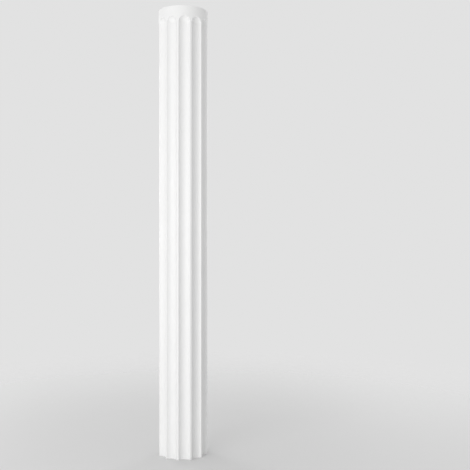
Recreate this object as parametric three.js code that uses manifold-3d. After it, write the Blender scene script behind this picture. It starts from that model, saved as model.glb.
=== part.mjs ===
// Fluted column shaft, moulded as one piece of rigid foam.
// Millimetres, +Z up, origin at the middle of the foot, a flute facing each of +X, +Y, -X and -Y.
import * as THREE from 'three';
import { mergeVertices } from 'three/addons/utils/BufferGeometryUtils.js';
import Module from 'manifold-3d';

// Driving dimensions
const SHAFT_HEIGHT = 2000;
const SHAFT_DIAMETER = 222;
const FLUTE_COUNT = 12;
const FLUTE_DEPTH = 16; // from the round of the shaft to the bottom of a flute
const FILLET_WIDTH = 7.5; // strip of the round left between two flutes
const COLLAR_HEIGHT = 44; // plain band above the crowns of the flutes

// Facets
const SHAFT_FACETS = 10 * FLUTE_COUNT;
const CUTTER_FACETS = 56;
const HEAD_RINGS = 10;
const CUTTER_OVERRUN = 20; // the cutter starts this far below the foot, so the flutes run out through it

// Sizes that follow from them
const SHAFT_RADIUS = SHAFT_DIAMETER / 2;
const FLUTE_PITCH = (2 * Math.PI) / FLUTE_COUNT;
const FLUTE_HALF_ANGLE = (FLUTE_PITCH - FILLET_WIDTH / SHAFT_RADIUS) / 2;
const FLUTE = fluteSection();

const wasm = await Module();
wasm.setup();

// A flute is an arc of a circle through its two edges and its deepest point, and its head is part of a ball of
// the same radius. The rise of the head is taken on the round of the shaft.
function fluteSection() {
  const halfChord = SHAFT_RADIUS * Math.sin(FLUTE_HALF_ANGLE);
  const bulge = SHAFT_RADIUS * (1 - Math.cos(FLUTE_HALF_ANGLE));
  const depthBelowChord = FLUTE_DEPTH - bulge;
  const radius = (halfChord ** 2 + depthBelowChord ** 2) / (2 * depthBelowChord);
  const axisRadius = SHAFT_RADIUS - FLUTE_DEPTH + radius;
  const headRise = Math.sqrt(radius ** 2 - (axisRadius - SHAFT_RADIUS) ** 2);
  return { radius, axisRadius, headRise };
}

// The lathe turns about Y, and the shaft stands along Z.
function turned(profile, facets) {
  return new THREE.LatheGeometry(profile, facets).rotateX(Math.PI / 2);
}

function plainShaft() {
  const profile = [
    new THREE.Vector2(0, 0),
    new THREE.Vector2(SHAFT_RADIUS, 0),
    new THREE.Vector2(SHAFT_RADIUS, SHAFT_HEIGHT),
    new THREE.Vector2(0, SHAFT_HEIGHT),
  ];
  return turned(profile, SHAFT_FACETS);
}

// A ball-nosed rod, which leaves a flute with a rounded head.
function fluteCutter() {
  const { radius, axisRadius, headRise } = FLUTE;
  const springing = SHAFT_HEIGHT - COLLAR_HEIGHT - headRise;
  const nose = new THREE.EllipseCurve(0, springing, radius, radius, 0, Math.PI / 2);
  const foot = -CUTTER_OVERRUN;
  const profile = [new THREE.Vector2(0, foot), new THREE.Vector2(radius, foot)];
  profile.push(...nose.getPoints(HEAD_RINGS).slice(0, -1));
  profile.push(new THREE.Vector2(0, springing + radius));
  return turned(profile, CUTTER_FACETS).translate(axisRadius, 0, 0);
}

function solidOf(geometry) {
  const bare = geometry.clone();
  bare.deleteAttribute('normal');
  bare.deleteAttribute('uv');
  const merged = mergeVertices(bare);
  const mesh = new wasm.Mesh({
    numProp: 3,
    vertProperties: merged.attributes.position.array,
    triVerts: merged.index.array,
  });
  return new wasm.Manifold(mesh);
}

function geometryOf(solid) {
  const { vertProperties, triVerts } = solid.getMesh();
  const geometry = new THREE.BufferGeometry();
  geometry.setAttribute('position', new THREE.BufferAttribute(vertProperties, 3));
  geometry.setIndex(new THREE.BufferAttribute(triVerts, 1));
  geometry.computeVertexNormals();
  return geometry;
}

function flutedShaft() {
  const cutter = fluteCutter();
  let shaft = solidOf(plainShaft());
  for (let i = 0; i < FLUTE_COUNT; i++) {
    const flute = cutter.clone().rotateZ(i * FLUTE_PITCH);
    shaft = shaft.subtract(solidOf(flute));
  }
  return geometryOf(shaft);
}

const primedWhite = new THREE.MeshStandardMaterial({
  name: 'white primer',
  color: 0xf2f2f1,
  roughness: 0.6,
  metalness: 0,
});

const shaft = new THREE.Mesh(flutedShaft(), primedWhite);
shaft.name = 'fluted_shaft';

const columnShaft = new THREE.Group();
columnShaft.name = 'column_shaft';
columnShaft.add(shaft);

export default columnShaft;
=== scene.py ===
"""Looks of the fluted column shaft: a finely moulded surface in white primer, under soft studio light."""

import logging
import math
from dataclasses import dataclass, field
from enum import Enum, IntEnum

import bmesh
import bpy
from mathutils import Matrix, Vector


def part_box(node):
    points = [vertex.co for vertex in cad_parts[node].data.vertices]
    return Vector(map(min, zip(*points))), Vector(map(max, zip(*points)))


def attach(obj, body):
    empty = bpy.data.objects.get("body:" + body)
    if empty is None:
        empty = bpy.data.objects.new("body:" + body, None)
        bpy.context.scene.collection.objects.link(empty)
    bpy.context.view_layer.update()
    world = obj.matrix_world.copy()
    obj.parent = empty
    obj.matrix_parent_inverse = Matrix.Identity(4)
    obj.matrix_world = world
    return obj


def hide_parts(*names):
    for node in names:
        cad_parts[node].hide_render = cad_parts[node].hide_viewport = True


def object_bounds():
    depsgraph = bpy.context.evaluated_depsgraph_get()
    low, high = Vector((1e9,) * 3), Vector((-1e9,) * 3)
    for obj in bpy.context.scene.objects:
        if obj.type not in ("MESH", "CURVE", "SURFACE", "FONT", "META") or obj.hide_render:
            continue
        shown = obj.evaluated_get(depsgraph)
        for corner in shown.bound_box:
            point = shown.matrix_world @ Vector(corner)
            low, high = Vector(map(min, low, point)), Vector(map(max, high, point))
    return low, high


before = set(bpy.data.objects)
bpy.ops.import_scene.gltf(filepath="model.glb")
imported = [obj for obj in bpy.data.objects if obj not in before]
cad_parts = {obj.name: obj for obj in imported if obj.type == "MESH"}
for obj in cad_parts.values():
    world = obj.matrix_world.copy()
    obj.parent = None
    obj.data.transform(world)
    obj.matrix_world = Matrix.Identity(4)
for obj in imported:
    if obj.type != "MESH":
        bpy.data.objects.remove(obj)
CAD_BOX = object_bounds()

log = logging.getLogger("column_shaft")

PHOTO_SIDE_PX = 470
SENSOR_WIDTH_MM = 36.0
LEVEL_TILT = math.pi / 2
HORIZON = 0.0

# Space between neighbouring shader nodes, which only makes their trees easier to read.
NODE_STEP = 220.0

Colour = tuple[float, float, float]
Range = tuple[float, float]
SocketValue = float | tuple[float, float, float, float]
# Angle round the shaft's axis, distance from it and height above the foot.
Polar = tuple[float, float, float]
Ring = list[bmesh.types.BMVert]

OPAQUE = 1.0
WHITE = (1.0, 1.0, 1.0, OPAQUE)
RISING: Range = (0.0, 1.0)
FALLING: Range = (1.0, 0.0)


class Skin(IntEnum):
    """Which finish a face of the shaft wears, as its material slot."""

    MOULDED = 0
    CUT_END = 1


class Grain(Enum):
    """How a foam surface breaks up from close by, as the depth of its pores in multiples of its relief."""

    CLOSED_SKIN = 1.5
    OPEN_CELLS = 3.0


class Socket(Enum):
    """What a socket of a node group carries."""

    VALUE = "NodeSocketFloat"
    COLOUR = "NodeSocketColor"
    VECTOR = "NodeSocketVector"


def add_node(tree: bpy.types.NodeTree, kind: str, column: int, row: int = 0) -> bpy.types.Node:
    """Adds a shader node at its own place in a tree.

    Args:
        tree: the node tree to add to.
        kind: Blender's name for the kind of node.
        column: the node's place from left to right.
        row: the node's place from the top down.

    Returns:
        The new node.
    """
    node = tree.nodes.new(kind)
    node.location = (column * NODE_STEP, -row * NODE_STEP)
    return node


def add_fade(
    tree: bpy.types.NodeTree, column: int, row: int, given: Range, made: Range
) -> bpy.types.Node:
    """Adds a node that turns one range of values smoothly into another.

    Args:
        tree: the node tree to add to.
        column: the node's place from left to right.
        row: the node's place from the top down.
        given: the range of the value that comes in.
        made: the range of the result.

    Returns:
        The new node.
    """
    fade = add_node(tree, "ShaderNodeMapRange", column, row)
    fade.interpolation_type = "SMOOTHSTEP"
    limits = ("From Min", "From Max", "To Min", "To Max")
    for limit, value in zip(limits, (*given, *made)):
        fade.inputs[limit].default_value = value
    return fade


def add_object(name: str, data: bpy.types.ID) -> bpy.types.Object:
    """Puts a mesh, a light or a camera into the scene.

    Args:
        name: the object's name.
        data: the mesh, the light or the camera.

    Returns:
        The new object.
    """
    added = bpy.data.objects.new(name, data)
    bpy.context.scene.collection.objects.link(added)
    return added


def add_mesh(name: str, mesh: bmesh.types.BMesh) -> bpy.types.Object:
    """Puts a finished mesh into the scene, and frees what it was made with.

    Args:
        name: the object's name.
        mesh: the mesh, which can't be used afterwards.

    Returns:
        The new object.
    """
    data = bpy.data.meshes.new(name)
    mesh.to_mesh(data)
    mesh.free()
    return add_object(name, data)


def stand_at(azimuth_deg: float, distance: float, height: float) -> Vector:
    """Finds a place round the shaft.

    Args:
        azimuth_deg: 0 in front of the shaft, and growing to the right as seen from there.
        distance: distance from the shaft's axis.
        height: height above the floor.

    Returns:
        The place.
    """
    turn = math.radians(azimuth_deg)
    return Vector((distance * math.sin(turn), -distance * math.cos(turn), height))


@dataclass(frozen=True)
class Flute:
    """A round-bottomed groove with a rounded head, cut into a round shaft.

    The groove is an arc through its two edges and its deepest point, and its head is part of a ball.
    """

    shaft_radius: float
    count: int = 12
    depth: float = 0.016
    fillet_width: float = 0.0075

    @property
    def pitch(self) -> float:
        """Angle from one flute to the next."""
        return 2 * math.pi / self.count

    @property
    def half_angle(self) -> float:
        """Angle at the shaft's axis from the middle of a flute to its edge."""
        return (self.pitch - self.fillet_width / self.shaft_radius) / 2

    @property
    def radius(self) -> float:
        """Works out the groove's arc from its width and its depth.

        Returns:
            The radius of the arc.
        """
        half_chord = self.shaft_radius * math.sin(self.half_angle)
        bulge = self.shaft_radius * (1 - math.cos(self.half_angle))
        below_chord = self.depth - bulge
        return (half_chord**2 + below_chord**2) / (2 * below_chord)

    @property
    def axis_radius(self) -> float:
        """Distance from the shaft's axis to the centre of the groove's arc."""
        return self.shaft_radius - self.depth + self.radius

    @property
    def head_rise(self) -> float:
        """Height of the rounded head, on the round of the shaft."""
        return math.sqrt(self.radius**2 - (self.axis_radius - self.shaft_radius) ** 2)

    def radius_at(self, rise: float) -> float:
        """Radius of the groove's arc at a height above the springing of its head."""
        return math.sqrt(self.radius**2 - rise**2)

    def edge_angle(self, rise: float) -> float:
        """Finds the groove's edge on the round of the shaft.

        Args:
            rise: height above the springing of the head, or 0 below it.

        Returns:
            The angle from the middle of the flute to its edge.
        """
        centre, shaft, arc = self.axis_radius, self.shaft_radius, self.radius_at(rise)
        cosine = (centre**2 + shaft**2 - arc**2) / (2 * centre * shaft)
        return math.acos(min(1.0, cosine))

    def depth_radius(self, angle: float, rise: float) -> float:
        """Finds the groove's surface.

        Args:
            angle: angle from the middle of the flute.
            rise: height above the springing of the head, or 0 below it.

        Returns:
            The surface's distance from the shaft's axis, never more than the shaft's radius.
        """
        centre, arc = self.axis_radius, self.radius_at(rise)
        reach = max(0.0, arc**2 - (centre * math.sin(angle)) ** 2)
        return min(self.shaft_radius, centre * math.cos(angle) - math.sqrt(reach))

    def section_angles(self, columns: int) -> list[float]:
        """Spaces points evenly along the groove's arc, from edge to edge.

        Args:
            columns: number of steps from one edge to the other.

        Returns:
            The angle from the middle of the flute to each point.
        """
        half_arc = math.asin(self.shaft_radius * math.sin(self.half_angle) / self.radius)
        angles = []
        for i in range(columns + 1):
            turn = half_arc * (2 * i / columns - 1)
            aside = self.radius * math.sin(turn)
            outward = self.axis_radius - self.radius * math.cos(turn)
            angles.append(math.atan2(aside, outward))
        return angles

    def arch(self, turn: float) -> tuple[float, float]:
        """Finds a point on the edge of the rounded head.

        Args:
            turn: 0 at the right springing, a quarter turn at the crown, a half turn at the left springing.

        Returns:
            The angle from the middle of the flute, and the height above the springing.
        """
        rise = self.head_rise * math.sin(turn)
        return math.copysign(self.edge_angle(rise), math.cos(turn)), rise


@dataclass(frozen=True)
class MeshSteps:
    """How finely the shaft's surface is divided.

    The rows beside a flute's head run up its edge as far as the shoulder turn. The flat ends are rings at
    shares of their rim. An edge profile of a half is round.
    """

    flute_columns: int = 28
    fillet_columns: int = 6
    shaft_rows: int = 20
    head_rows: int = 14
    collar_rows: int = 7
    shoulder_turn: float = math.radians(48)
    cap_shares: tuple[float, ...] = (0.96, 0.8, 0.55, 0.3)
    edge_segments: int = 3
    edge_profile: float = 0.5


@dataclass(frozen=True)
class Noise:
    """A kind of noise: how many finer layers it has, and how strong they are."""

    detail: float
    roughness: float

    def add(self, group: bpy.types.NodeTree, row: int = 0) -> bpy.types.Node:
        """Adds a noise of this kind to a group.

        Args:
            group: the node group to add to.
            row: the node's place from the top down.

        Returns:
            The new node.
        """
        noise = add_node(group, "ShaderNodeTexNoise", 0, row)
        noise.inputs["Detail"].default_value = self.detail
        noise.inputs["Roughness"].default_value = self.roughness
        return noise


@dataclass
class SharedEffects:
    """Shader node groups that both finishes of the shaft use."""

    clouds: Noise = Noise(detail=4.0, roughness=0.55)
    cloud_range: Range = (0.3, 0.7)
    ripple: Noise = Noise(detail=1.0, roughness=0.4)
    tooth: Noise = Noise(detail=2.0, roughness=0.6)
    tone_drift: bpy.types.NodeTree = field(init=False)
    surface_peel: bpy.types.NodeTree = field(init=False)
    pin_holes: bpy.types.NodeTree = field(init=False)

    def build(self) -> None:
        """Makes each group once."""
        self.tone_drift = self._tone_drift()
        self.surface_peel = self._surface_peel()
        self.pin_holes = self._pin_holes()

    def _new_group(
        self, name: str, inputs: dict[str, Socket], outputs: dict[str, Socket]
    ) -> tuple[bpy.types.NodeTree, bpy.types.Node, bpy.types.Node]:
        """Makes an empty group with named sockets.

        Args:
            name: the group's name.
            inputs: what each named input carries.
            outputs: what each named output carries.

        Returns:
            The group, its input node and its output node.
        """
        group = bpy.data.node_groups.new(name, "ShaderNodeTree")
        for socket_name, kind in inputs.items():
            group.interface.new_socket(name=socket_name, in_out="INPUT", socket_type=kind.value)
        for socket_name, kind in outputs.items():
            group.interface.new_socket(name=socket_name, in_out="OUTPUT", socket_type=kind.value)
        entry = add_node(group, "NodeGroupInput", -1)
        leave = add_node(group, "NodeGroupOutput", 4)
        return group, entry, leave

    def _tone_drift(self) -> bpy.types.NodeTree:
        """Makes broad, faint clouds of tone, as sprayed paint has, and the roughness that goes with them.

        Returns:
            A group that gives a colour and a roughness.
        """
        group, entry, leave = self._new_group(
            "tone drift",
            {
                "Vector": Socket.VECTOR,
                "Cloud Scale": Socket.VALUE,
                "Light Colour": Socket.COLOUR,
                "Dark Colour": Socket.COLOUR,
                "Light Roughness": Socket.VALUE,
                "Dark Roughness": Socket.VALUE,
            },
            {"Colour": Socket.COLOUR, "Roughness": Socket.VALUE},
        )
        clouds = self.clouds.add(group)
        spread = add_fade(group, 1, 0, given=self.cloud_range, made=RISING)
        blend = add_node(group, "ShaderNodeMix", 2)
        blend.data_type = "RGBA"
        gloss = add_node(group, "ShaderNodeMapRange", 2, 1)
        link = group.links.new
        link(entry.outputs["Vector"], clouds.inputs["Vector"])
        link(entry.outputs["Cloud Scale"], clouds.inputs["Scale"])
        link(clouds.outputs["Fac"], spread.inputs["Value"])
        link(spread.outputs["Result"], blend.inputs["Factor"])
        link(entry.outputs["Light Colour"], blend.inputs["A"])
        link(entry.outputs["Dark Colour"], blend.inputs["B"])
        link(spread.outputs["Result"], gloss.inputs["Value"])
        link(entry.outputs["Light Roughness"], gloss.inputs["To Min"])
        link(entry.outputs["Dark Roughness"], gloss.inputs["To Max"])
        link(blend.outputs["Result"], leave.inputs["Colour"])
        link(gloss.outputs["Result"], leave.inputs["Roughness"])
        return group

    def _surface_peel(self) -> bpy.types.NodeTree:
        """Makes the soft ripple and the fine tooth of a sprayed coat.

        Returns:
            A group that gives a height from 0 to about 1.
        """
        group, entry, leave = self._new_group(
            "surface peel",
            {
                "Vector": Socket.VECTOR,
                "Ripple Scale": Socket.VALUE,
                "Tooth Scale": Socket.VALUE,
                "Tooth Share": Socket.VALUE,
            },
            {"Height": Socket.VALUE},
        )
        ripple = self.ripple.add(group)
        tooth = self.tooth.add(group, row=1)
        mixed = add_node(group, "ShaderNodeMix", 2)
        mixed.data_type = "FLOAT"
        link = group.links.new
        link(entry.outputs["Vector"], ripple.inputs["Vector"])
        link(entry.outputs["Ripple Scale"], ripple.inputs["Scale"])
        link(entry.outputs["Vector"], tooth.inputs["Vector"])
        link(entry.outputs["Tooth Scale"], tooth.inputs["Scale"])
        link(entry.outputs["Tooth Share"], mixed.inputs["Factor"])
        link(ripple.outputs["Fac"], mixed.inputs["A"])
        link(tooth.outputs["Fac"], mixed.inputs["B"])
        link(mixed.outputs["Result"], leave.inputs["Height"])
        return group

    def _pin_holes(self) -> bpy.types.NodeTree:
        """Makes small round pores, as foam leaves in its surface.

        Each pore is the middle of a cell, and only cells whose random red lies below a share have one.

        Returns:
            A group that gives a mask, 1 inside a pore and 0 outside.
        """
        group, entry, leave = self._new_group(
            "pin holes",
            {
                "Vector": Socket.VECTOR,
                "Cell Scale": Socket.VALUE,
                "Pore Size": Socket.VALUE,
                "Share Of Cells": Socket.VALUE,
            },
            {"Mask": Socket.VALUE},
        )
        cells = add_node(group, "ShaderNodeTexVoronoi", 0)
        pore = add_fade(group, 1, 0, given=RISING, made=FALLING)
        pick = add_node(group, "ShaderNodeSeparateColor", 1, 1)
        chosen = add_node(group, "ShaderNodeMath", 2, 1)
        chosen.operation = "LESS_THAN"
        drawn, share_of_cells, _ = chosen.inputs
        both = add_node(group, "ShaderNodeMath", 3)
        both.operation = "MULTIPLY"
        shape, has_pore, _ = both.inputs
        link = group.links.new
        link(entry.outputs["Vector"], cells.inputs["Vector"])
        link(entry.outputs["Cell Scale"], cells.inputs["Scale"])
        link(cells.outputs["Distance"], pore.inputs["Value"])
        link(entry.outputs["Pore Size"], pore.inputs["From Max"])
        link(cells.outputs["Color"], pick.inputs["Color"])
        link(pick.outputs["Red"], drawn)
        link(entry.outputs["Share Of Cells"], share_of_cells)
        link(pore.outputs["Result"], shape)
        link(chosen.outputs["Value"], has_pore)
        link(both.outputs["Value"], leave.inputs["Mask"])
        return group


@dataclass(frozen=True)
class FoamFinish:
    """White primer on rigid foam, as smooth moulded skin or as the face of a cut.

    Scales are features per metre, a pore's size is a share of its cell, and the relief is in metres. The
    darker clouds have the higher roughness. The pores are real hollows, sunk by the bump, and their darker
    colour is painted shade.
    """

    name: str
    grain: Grain
    light_colour: Colour
    dark_colour: Colour
    # Painted shade: the darker colour laid into the pores, where shade falls in the hollows.
    pore_shade_colour: Colour
    roughness: Range
    cloud_scale: float
    ripple_scale: float
    tooth_scale: float
    tooth_share: float
    pore_scale: float
    pore_size: float
    pore_share: float
    relief_height: float

    def material(self, effects: SharedEffects) -> bpy.types.Material:
        """Makes the finish as a Blender material.

        Args:
            effects: the shared node groups.

        Returns:
            The material.
        """
        material = bpy.data.materials.new(self.name)
        material.use_nodes = True
        tree = material.node_tree
        shader = tree.nodes["Principled BSDF"]
        coordinates = add_node(tree, "ShaderNodeTexCoord", -4)
        drift = self._place(tree, effects.tone_drift, 0, self._drift_values())
        pores = self._place(tree, effects.pin_holes, 1, self._pore_values())
        peel = self._place(tree, effects.surface_peel, 2, self._peel_values())
        # The pore mask darkens the colour with painted shade, on top of the bump that sinks the pores.
        colour = add_node(tree, "ShaderNodeMix", -2)
        colour.data_type = "RGBA"
        colour.inputs["B"].default_value = (*self.pore_shade_colour, OPAQUE)
        height = add_node(tree, "ShaderNodeMath", -2, 2)
        height.operation = "MULTIPLY_ADD"
        pore_mask, pore_depth, coat_height = height.inputs
        pore_depth.default_value = -self.grain.value
        bump = add_node(tree, "ShaderNodeBump", -1, 2)
        bump.inputs["Distance"].default_value = self.relief_height
        link = tree.links.new
        for effect in (drift, pores, peel):
            link(coordinates.outputs["Object"], effect.inputs["Vector"])
        link(pores.outputs["Mask"], colour.inputs["Factor"])
        link(drift.outputs["Colour"], colour.inputs["A"])
        link(colour.outputs["Result"], shader.inputs["Base Color"])
        link(drift.outputs["Roughness"], shader.inputs["Roughness"])
        link(pores.outputs["Mask"], pore_mask)
        link(peel.outputs["Height"], coat_height)
        link(height.outputs["Value"], bump.inputs["Height"])
        link(bump.outputs["Normal"], shader.inputs["Normal"])
        return material

    def _drift_values(self) -> dict[str, SocketValue]:
        """Gathers what this finish sets on the clouds of tone.

        Returns:
            A value for each named input.
        """
        light_roughness, dark_roughness = self.roughness
        return {
            "Cloud Scale": self.cloud_scale,
            "Light Colour": (*self.light_colour, OPAQUE),
            "Dark Colour": (*self.dark_colour, OPAQUE),
            "Light Roughness": light_roughness,
            "Dark Roughness": dark_roughness,
        }

    def _pore_values(self) -> dict[str, SocketValue]:
        """Gathers what this finish sets on the pores.

        Returns:
            A value for each named input.
        """
        return {
            "Cell Scale": self.pore_scale,
            "Pore Size": self.pore_size,
            "Share Of Cells": self.pore_share,
        }

    def _peel_values(self) -> dict[str, SocketValue]:
        """Gathers what this finish sets on the sprayed coat.

        Returns:
            A value for each named input.
        """
        return {
            "Ripple Scale": self.ripple_scale,
            "Tooth Scale": self.tooth_scale,
            "Tooth Share": self.tooth_share,
        }

    def _place(
        self, tree: bpy.types.NodeTree, group: bpy.types.NodeTree, row: int, values: dict[str, SocketValue]
    ) -> bpy.types.Node:
        """Places a shared group in this material.

        Args:
            tree: the material's node tree.
            group: the shared group.
            row: the node's place from the top down.
            values: what each named input is set to.

        Returns:
            The group's node.
        """
        node = add_node(tree, "ShaderNodeGroup", -3, row)
        node.node_tree = group
        for name, value in values.items():
            node.inputs[name].default_value = value
        return node


MOULDED_PRIMER = FoamFinish(
    name="white primer",
    grain=Grain.CLOSED_SKIN,
    light_colour=(0.867, 0.867, 0.864),
    dark_colour=(0.853, 0.853, 0.85),
    # The pores' darker colour is painted shade.
    pore_shade_colour=(0.78, 0.78, 0.775),
    roughness=(0.48, 0.54),
    cloud_scale=7.0,
    ripple_scale=260.0,
    tooth_scale=1400.0,
    tooth_share=0.35,
    pore_scale=150.0,
    pore_size=0.1,
    pore_share=0.05,
    relief_height=0.0003,
)

CUT_END_PRIMER = FoamFinish(
    name="primer on a cut end",
    grain=Grain.OPEN_CELLS,
    light_colour=(0.85, 0.848, 0.84),
    dark_colour=(0.81, 0.808, 0.798),
    # The pores' darker colour is painted shade.
    pore_shade_colour=(0.68, 0.675, 0.66),
    roughness=(0.62, 0.74),
    cloud_scale=14.0,
    ripple_scale=320.0,
    tooth_scale=1800.0,
    tooth_share=0.6,
    pore_scale=420.0,
    pore_size=0.35,
    pore_share=0.35,
    relief_height=0.00012,
)


@dataclass
class FlutedShaft:
    """The shaft itself: flutes with rounded heads, a plain collar above them and flat ends.

    Its height and radius are the solid's own. The springing is the height at which the flutes' heads begin,
    so that their crowns reach the collar.
    """

    node: str
    slot: str
    piece_name: str
    collar_height: float = 0.044
    edge_softness: float = 0.0011
    steps: MeshSteps = field(default_factory=MeshSteps)
    height: float = field(init=False)
    radius: float = field(init=False)
    flute: Flute = field(init=False)
    springing: float = field(init=False)

    def __post_init__(self) -> None:
        """Reads the solid's size from the frame."""
        low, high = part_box(self.node)
        self.height = high.z - low.z
        self.radius = (high.x - low.x) / 2
        self.flute = Flute(self.radius)
        self.springing = self.height - self.collar_height - self.flute.head_rise

    def build(self) -> bpy.types.Object:
        """Makes the shaft's mesh.

        Returns:
            The new object, in the solid's place.
        """
        mesh = bmesh.new()
        rings = [self._ring(mesh, row) for row in self._rows()]
        foot, rim = rings[0], rings[-1]
        for lower, upper in zip(rings, rings[1:]):
            self._bridge(mesh, lower, upper, Skin.MOULDED)
        edges = self._arris_edges(mesh, rings)
        edges += self._loop_edges(mesh, foot)
        edges += self._loop_edges(mesh, rim)
        self._close(mesh, foot, faces_up=False)
        self._close(mesh, rim, faces_up=True)
        bmesh.ops.recalc_face_normals(mesh, faces=mesh.faces[:])
        self._soften(mesh, edges)
        for face in mesh.faces:
            face.smooth = True
        return add_mesh(self.piece_name, mesh)

    def dress(self, piece: bpy.types.Object, effects: SharedEffects) -> None:
        """Gives the shaft its finishes and ties it to the frame.

        Args:
            piece: the shaft's object.
            effects: the shared node groups.
        """
        finishes = {Skin.MOULDED: MOULDED_PRIMER, Skin.CUT_END: CUT_END_PRIMER}
        for skin in Skin:
            piece.data.materials.append(finishes[skin].material(effects))
        shading = piece.modifiers.new("even shading", "WEIGHTED_NORMAL")
        shading.keep_sharp = True
        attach(piece, "root")
        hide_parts(self.node)

    def _rows(self) -> list[list[Polar]]:
        """Lays out every ring of the surface.

        Returns:
            The points of each ring, from the foot to the rim.
        """
        rows = [self._shaft_row(i / self.steps.shaft_rows) for i in range(self.steps.shaft_rows + 1)]
        rows += [self._head_row(i / self.steps.head_rows) for i in range(1, self.steps.head_rows + 1)]
        over_heads = rows[-1]
        for i in range(1, self.steps.collar_rows + 1):
            share = i / self.steps.collar_rows
            rows.append([(a, self.radius, z + (self.height - z) * share) for a, _, z in over_heads])
        return rows

    def _shaft_row(self, share: float) -> list[Polar]:
        """Lays out a ring of the straight part.

        Args:
            share: 0 at the foot, 1 at the springing.

        Returns:
            The points of the whole ring.
        """
        angles = self.flute.section_angles(self.steps.flute_columns)
        z = self.springing * share
        return self._around([(angle, self.flute.depth_radius(angle, rise=0.0), z) for angle in angles])

    def _head_row(self, share: float) -> list[Polar]:
        """Lays out a ring through the rounded heads, which follows their edges.

        Each head is a patch with four sides, and its points are blended from all four: the springing below,
        the two sides up to the shoulders, and the crown between them.

        Args:
            share: 0 at the springing, 1 on the row over the crown.

        Returns:
            The points of the whole ring.
        """
        columns = self.steps.flute_columns
        shoulder = self.steps.shoulder_turn
        springing_angles = self.flute.section_angles(columns)
        side_angle, side_rise = self.flute.arch(shoulder * share)
        shoulder_angle, shoulder_rise = self.flute.arch(shoulder)
        groove = []
        for i in range(columns + 1):
            across = i / columns
            crown_turn = math.pi - shoulder + across * (2 * shoulder - math.pi)
            crown_angle, crown_rise = self.flute.arch(crown_turn)
            aside = 2 * across - 1
            angle = (1 - share) * springing_angles[i] + share * crown_angle
            angle += aside * (side_angle - (1 - share) * springing_angles[-1] - share * shoulder_angle)
            rise = share * crown_rise + side_rise - share * shoulder_rise
            groove.append((angle, self.flute.depth_radius(angle, rise), self.springing + rise))
        return self._around(groove)

    def _around(self, groove: list[Polar]) -> list[Polar]:
        """Repeats one flute's row of points round the shaft, with a fillet after each.

        Args:
            groove: the points across one flute, about angle 0.

        Returns:
            The points of the whole ring.
        """
        columns = self.steps.fillet_columns
        start_angle, _, start_z = groove[-1]
        next_angle, _, next_z = groove[0]
        span = next_angle + self.flute.pitch - start_angle
        fillet = []
        for i in range(1, columns):
            angle = start_angle + span * i / columns
            fillet.append((angle, self.radius, start_z + (next_z - start_z) * i / columns))
        ring = []
        for i in range(self.flute.count):
            turn = i * self.flute.pitch
            ring += [(angle + turn, radius, z) for angle, radius, z in groove + fillet]
        return ring

    def _ring(self, mesh: bmesh.types.BMesh, row: list[Polar]) -> Ring:
        """Adds a row's points to the mesh."""
        return [mesh.verts.new((r * math.cos(a), r * math.sin(a), z)) for a, r, z in row]

    def _bridge(self, mesh: bmesh.types.BMesh, lower: Ring, upper: Ring, skin: Skin) -> None:
        """Joins two rings with faces.

        Args:
            mesh: the mesh to add to.
            lower: the ring below, or the outer one on a flat end.
            upper: the ring above, or the inner one on a flat end.
            skin: the finish of the faces.
        """
        count = len(lower)
        for i in range(count):
            after = (i + 1) % count
            face = mesh.faces.new((lower[i], lower[after], upper[after], upper[i]))
            face.material_index = int(skin)

    def _close(self, mesh: bmesh.types.BMesh, rim: Ring, faces_up: bool) -> None:
        """Closes an end with a flat face of narrowing rings.

        Args:
            mesh: the mesh to add to.
            rim: the ring at the edge of the end.
            faces_up: whether it is the upper end.
        """
        outer = rim
        for share in self.steps.cap_shares:
            inner = [mesh.verts.new((v.co.x * share, v.co.y * share, v.co.z)) for v in rim]
            self._bridge(mesh, outer, inner, Skin.CUT_END)
            outer = inner
        middle = mesh.faces.new(outer if faces_up else outer[::-1])
        middle.material_index = int(Skin.CUT_END)

    def _loop_edges(self, mesh: bmesh.types.BMesh, ring: Ring) -> list[bmesh.types.BMEdge]:
        """The edges along a ring."""
        return [mesh.edges.get((a, b)) for a, b in zip(ring, ring[1:] + ring[:1])]

    def _arris_edges(self, mesh: bmesh.types.BMesh, rings: list[Ring]) -> list[bmesh.types.BMEdge]:
        """Finds the edges where flutes meet the round of the shaft, up both sides and over the heads.

        Args:
            mesh: the shaft's mesh.
            rings: its rings, from foot to rim.

        Returns:
            The edges, all round.
        """
        columns = self.steps.flute_columns
        width = columns + self.steps.fillet_columns
        crown_row = self.steps.shaft_rows + self.steps.head_rows
        edges = []
        for i in range(self.flute.count):
            left = i * width
            right = left + columns
            for lower, upper in zip(rings[:crown_row], rings[1 : crown_row + 1]):
                edges += [mesh.edges.get((lower[side], upper[side])) for side in (left, right)]
            crown = rings[crown_row][left : right + 1]
            edges += [mesh.edges.get((a, b)) for a, b in zip(crown, crown[1:])]
        return edges

    def _soften(self, mesh: bmesh.types.BMesh, edges: list[bmesh.types.BMEdge]) -> None:
        """Rounds sharp edges a little, as moulding and priming leave them.

        Args:
            mesh: the shaft's mesh.
            edges: the edges to round.
        """
        bmesh.ops.bevel(
            mesh,
            geom=edges,
            offset=self.edge_softness,
            offset_type="OFFSET",
            segments=self.steps.edge_segments,
            profile=self.steps.edge_profile,
            affect="EDGES",
            clamp_overlap=True,
            material=int(Skin.MOULDED),
        )


@dataclass(frozen=True)
class SoftLight:
    """A large rectangular studio light that faces the shaft, with its power in watts."""

    name: str
    azimuth_deg: float
    distance: float
    hung_at: float
    width: float
    height: float
    power: float

    def build(self, aim: Vector) -> None:
        """Hangs the light.

        Args:
            aim: the point that it faces.
        """
        data = bpy.data.lights.new(self.name, "AREA")
        data.shape = "RECTANGLE"
        data.size = self.width
        data.size_y = self.height
        data.energy = self.power
        light = add_object(self.name, data)
        light.location = stand_at(self.azimuth_deg, self.distance, self.hung_at)
        light.rotation_euler = (aim - light.location).to_track_quat("-Z", "Y").to_euler()


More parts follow.
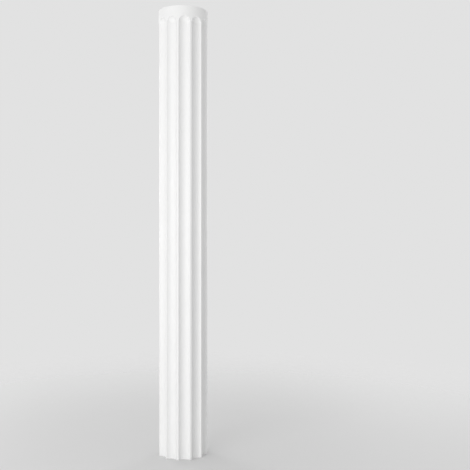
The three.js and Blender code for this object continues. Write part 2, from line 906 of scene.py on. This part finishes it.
@dataclass(frozen=True)
class Viewpoint:
    """Where the camera stands: level, at mid height, and turned so that the shaft is left of the middle."""

    azimuth_deg: float = -2.6
    distance: float = 3.363
    height: float = 0.99
    turned_aside_deg: float = 4.015
    focal_px: float = 738.4

    def build(self) -> None:
        """Sets up the camera."""
        data = bpy.data.cameras.new("camera")
        data.sensor_width = SENSOR_WIDTH_MM
        data.lens = self.focal_px * SENSOR_WIDTH_MM / PHOTO_SIDE_PX
        camera = add_object("camera", data)
        camera.location = stand_at(self.azimuth_deg, self.distance, self.height)
        heading = math.radians(self.azimuth_deg) - math.radians(self.turned_aside_deg)
        camera.rotation_euler = (LEVEL_TILT, 0.0, heading)
        bpy.context.scene.camera = camera


@dataclass(frozen=True)
class Floor:
    """A pale floor that fades into the background towards its rim, so that no horizon shows."""

    radius: float = 3.0
    sides: int = 96
    fade_from: float = 0.6
    colour: Colour = (0.62, 0.62, 0.62)
    roughness: float = 0.7

    def build(self) -> None:
        """Lays the floor."""
        mesh = bmesh.new()
        bmesh.ops.create_circle(mesh, cap_ends=True, segments=self.sides, radius=self.radius)
        floor = add_mesh("floor", mesh)
        floor.data.materials.append(self._material())

    def _material(self) -> bpy.types.Material:
        """Makes pale matt paint that thins out away from the shaft.

        Returns:
            The material.
        """
        material = bpy.data.materials.new("pale floor")
        material.use_nodes = True
        tree = material.node_tree
        shader = tree.nodes["Principled BSDF"]
        shader.inputs["Base Color"].default_value = (*self.colour, OPAQUE)
        shader.inputs["Roughness"].default_value = self.roughness
        coordinates = add_node(tree, "ShaderNodeTexCoord", -3)
        away = add_node(tree, "ShaderNodeVectorMath", -2)
        away.operation = "LENGTH"
        fade = add_fade(tree, -1, 0, given=(self.fade_from, self.radius), made=FALLING)
        link = tree.links.new
        link(coordinates.outputs["Object"], away.inputs["Vector"])
        link(away.outputs["Value"], fade.inputs["Value"])
        link(fade.outputs["Result"], shader.inputs["Alpha"])
        return material


KEY_LIGHT = SoftLight(
    name="key light",
    azimuth_deg=-36.0,
    distance=4.0,
    hung_at=0.95,
    width=3.0,
    height=1.8,
    power=70.5,
)

LEFT_BACK_LIGHT = SoftLight(
    name="left back light",
    azimuth_deg=-148.0,
    distance=5.2,
    hung_at=1.7,
    width=2.0,
    height=2.6,
    power=60.0,
)

RIGHT_BACK_LIGHT = SoftLight(
    name="right back light",
    azimuth_deg=146.0,
    distance=5.2,
    hung_at=1.7,
    width=2.0,
    height=2.6,
    power=50.0,
)


@dataclass(frozen=True)
class Studio:
    """Floor, light, background and camera.

    The shaft is lit from all round by an even fill. Below the horizon a bounce from the floor is added,
    which is full from the bounce dip down, and overhead a ceiling light, which its focus narrows.
    """

    floor: Floor = Floor()
    viewpoint: Viewpoint = Viewpoint()
    lights: tuple[SoftLight, ...] = (KEY_LIGHT, LEFT_BACK_LIGHT, RIGHT_BACK_LIGHT)
    background_grey: float = 0.76
    fill_grey: float = 0.535
    bounce_grey: float = 0.24
    bounce_dip: float = -0.25
    ceiling_grey: float = 0.8
    ceiling_focus: float = 4.0

    def build(self, aim: Vector) -> None:
        """Sets the stage.

        Args:
            aim: the middle of the shaft, which the lights face.
        """
        self.floor.build()
        for light in self.lights:
            light.build(aim)
        self._background()
        self.viewpoint.build()
        bpy.context.scene.view_settings.view_transform = "Standard"

    def _background(self) -> None:
        """Gives the camera an even pale background, and the shaft its light from all round."""
        world = bpy.data.worlds.new("studio")
        world.use_nodes = True
        tree = world.node_tree
        tree.nodes.clear()
        path = add_node(tree, "ShaderNodeLightPath", 4, -1)
        fill = add_node(tree, "ShaderNodeBackground", 4)
        fill.inputs["Color"].default_value = WHITE
        seen = add_node(tree, "ShaderNodeBackground", 4, 1)
        seen.inputs["Color"].default_value = WHITE
        seen.inputs["Strength"].default_value = self.background_grey
        mix = add_node(tree, "ShaderNodeMixShader", 5)
        by_camera, on_shaft, on_picture = mix.inputs
        output = add_node(tree, "ShaderNodeOutputWorld", 6)
        link = tree.links.new
        link(self._light_level(tree), fill.inputs["Strength"])
        link(path.outputs["Is Camera Ray"], by_camera)
        link(fill.outputs["Background"], on_shaft)
        link(seen.outputs["Background"], on_picture)
        link(mix.outputs["Shader"], output.inputs["Surface"])
        bpy.context.scene.world = world

    def _light_level(self, tree: bpy.types.NodeTree) -> bpy.types.NodeSocket:
        """Works out how strong the light from each direction is.

        Args:
            tree: the background's node tree.

        Returns:
            The socket that gives the strength.
        """
        direction = add_node(tree, "ShaderNodeTexCoord", -1)
        parts = add_node(tree, "ShaderNodeSeparateXYZ", 0)
        upward = add_node(tree, "ShaderNodeMath", 1)
        upward.operation = "MAXIMUM"
        slope, lowest, _ = upward.inputs
        lowest.default_value = HORIZON
        focus = add_node(tree, "ShaderNodeMath", 2)
        focus.operation = "POWER"
        base, exponent, _ = focus.inputs
        exponent.default_value = self.ceiling_focus
        low_levels = (self.fill_grey, self.fill_grey + self.bounce_grey)
        bounce = add_fade(tree, 2, 1, given=(HORIZON, self.bounce_dip), made=low_levels)
        level = add_node(tree, "ShaderNodeMath", 3)
        level.operation = "MULTIPLY_ADD"
        overhead, ceiling, low_light = level.inputs
        ceiling.default_value = self.ceiling_grey
        link = tree.links.new
        link(direction.outputs["Generated"], parts.inputs["Vector"])
        link(parts.outputs["Z"], slope)
        link(upward.outputs["Value"], base)
        link(focus.outputs["Value"], overhead)
        link(parts.outputs["Z"], bounce.inputs["Value"])
        link(bounce.outputs["Result"], low_light)
        return level.outputs["Value"]


def main() -> None:
    """Builds the stage and the shaft, and reports each piece."""
    logging.basicConfig(level=logging.INFO, format="%(name)s: %(message)s")
    low, high = CAD_BOX
    Studio().build(aim=(low + high) / 2)
    effects = SharedEffects()
    effects.build()
    shaft = FlutedShaft(node="fluted_shaft", slot="white_primer", piece_name="primed_shaft")
    piece = shaft.build()
    shaft.dress(piece, effects)
    log.info("%s: %d faces, %.3f m tall", piece.name, len(piece.data.polygons), piece.dimensions.z)


if __name__ == "__main__":
    main()
